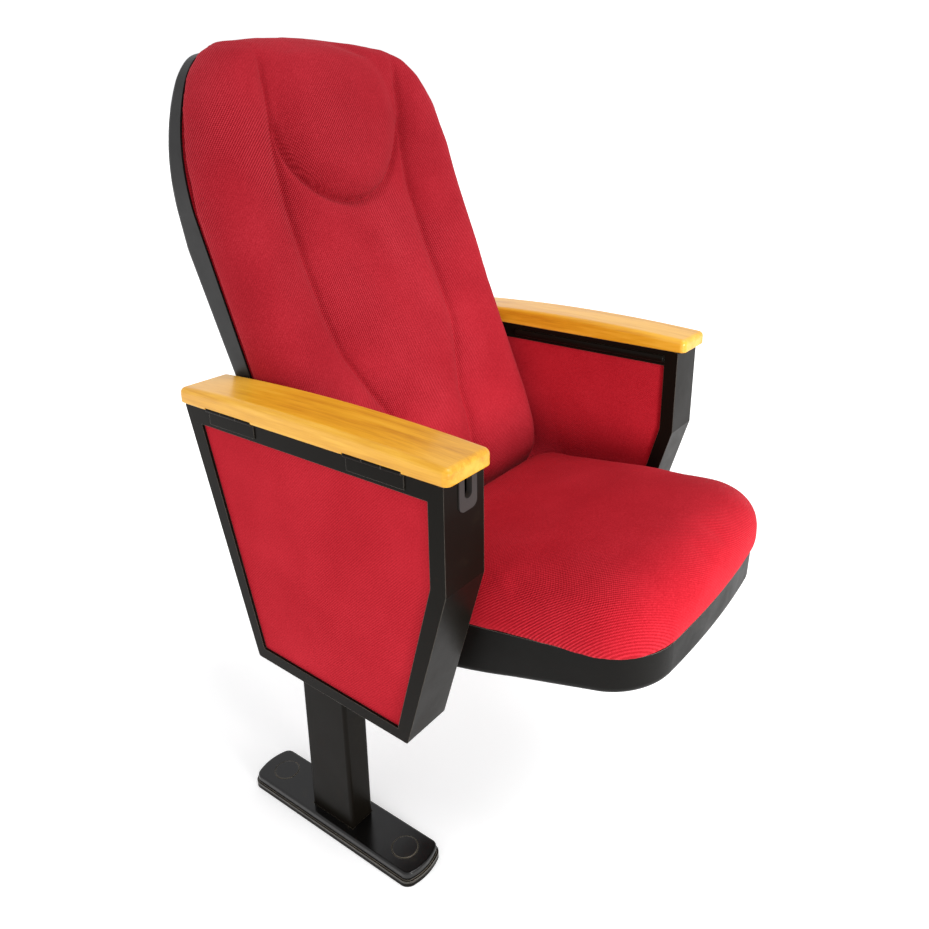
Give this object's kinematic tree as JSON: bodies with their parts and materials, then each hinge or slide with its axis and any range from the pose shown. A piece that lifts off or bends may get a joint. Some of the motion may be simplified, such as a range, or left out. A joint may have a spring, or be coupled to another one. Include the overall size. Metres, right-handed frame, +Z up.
{
  "type": "tip-up auditorium seat",
  "caption": "Free-standing tip-up auditorium seat: upholstered high back, sprung folding seat, boxed fabric-panelled arms with wooden tops and a stowed writing tablet.",
  "frame": {"origin": "floor level, midway between the four floor anchor holes", "axes": "+Z up, -Y the way the sitter faces, +X towards the sitter's left hand"},
  "size_m": [0.663, 0.7501, 1.065],
  "materials": {
    "red_twill": "woven polyester twill over foam",
    "lacquered_wood": "golden stained hardwood, clear gloss lacquer",
    "powder_coat": "satin black powder coat",
    "black_plastic": "satin black moulded polypropylene",
    "foot_plastic": "gloss black moulded cover",
    "grey_plastic": "dark grey moulded liner",
    "tablet_plastic": "moulded writing board",
    "plywood": "unfinished plywood",
    "zinc_steel": "zinc plated",
    "nylon": "natural nylon",
    "rubber": "moulded rubber"
  },
  "bodies": {
    "frame": {"arm_frame_left": "powder_coat", "arm_frame_right": "powder_coat", "armrest_left": "lacquered_wood", "armrest_left_screws": "zinc_steel", "back_angle_bolts": "zinc_steel", "back_angle_left": "powder_coat", "back_angle_right": "powder_coat", "back_board": "plywood", "back_cushion": "red_twill", "back_shell": "black_plastic", "base_plate_left": "powder_coat", "base_plate_right": "powder_coat", "foot_caps_left": "foot_plastic", "foot_caps_right": "foot_plastic", "foot_cover_left": "foot_plastic", "foot_cover_right": "foot_plastic", "inner_panel_board_left": "plywood", "inner_panel_board_right": "plywood", "inner_panel_cover_left": "red_twill", "inner_panel_cover_right": "red_twill", "lid_hinge_frame_leaves": "powder_coat", "lid_hinge_pins": "zinc_steel", "outer_panel_board_left": "plywood", "outer_panel_board_right": "plywood", "outer_panel_cover_left": "red_twill", "outer_panel_cover_right": "red_twill", "pivot_pin_left": "zinc_steel", "pivot_pin_right": "zinc_steel", "post_left": "powder_coat", "post_right": "powder_coat", "return_spring_left": "zinc_steel", "return_spring_right": "zinc_steel", "seat_bracket_left": "powder_coat", "seat_bracket_right": "powder_coat", "seat_bracket_screws": "zinc_steel", "slot_liner": "grey_plastic", "spine_plate_left": "powder_coat", "spine_plate_right": "powder_coat", "stop_collar_left": "zinc_steel", "stop_collar_right": "zinc_steel", "tablet_bar": "powder_coat", "tablet_board": "tablet_plastic", "tablet_bracket": "powder_coat", "tablet_flip_leaf": "powder_coat", "tablet_pin": "zinc_steel", "tablet_rest": "rubber", "top_rail_left": "powder_coat", "top_rail_right": "powder_coat"},
    "seat": {"seat_pan": "black_plastic", "seat_board": "plywood", "seat_cushion": "red_twill", "pan_screws": "zinc_steel", "hinge_arm_left": "powder_coat", "hinge_arm_right": "powder_coat", "pivot_bush_left": "nylon", "pivot_bush_right": "nylon"},
    "armrest_lid": {"armrest_lid": "lacquered_wood", "lid_buffers": "rubber", "lid_hinge_lid_leaves": "powder_coat"}
  },
  "joints": [
    {"name": "seat_tilt", "type": "hinge", "parent": "frame", "child": "seat", "pos_m": [0, -0.07014, 0.32182], "axis": [-1, 0, 0], "range_deg": [0, 70]},
    {"name": "lid_hinge", "type": "hinge", "parent": "frame", "child": "armrest_lid", "pos_m": [-0.3283, 0, 0.6093], "axis": [0, -1, 0], "range_deg": [0, 100]}
  ]
}
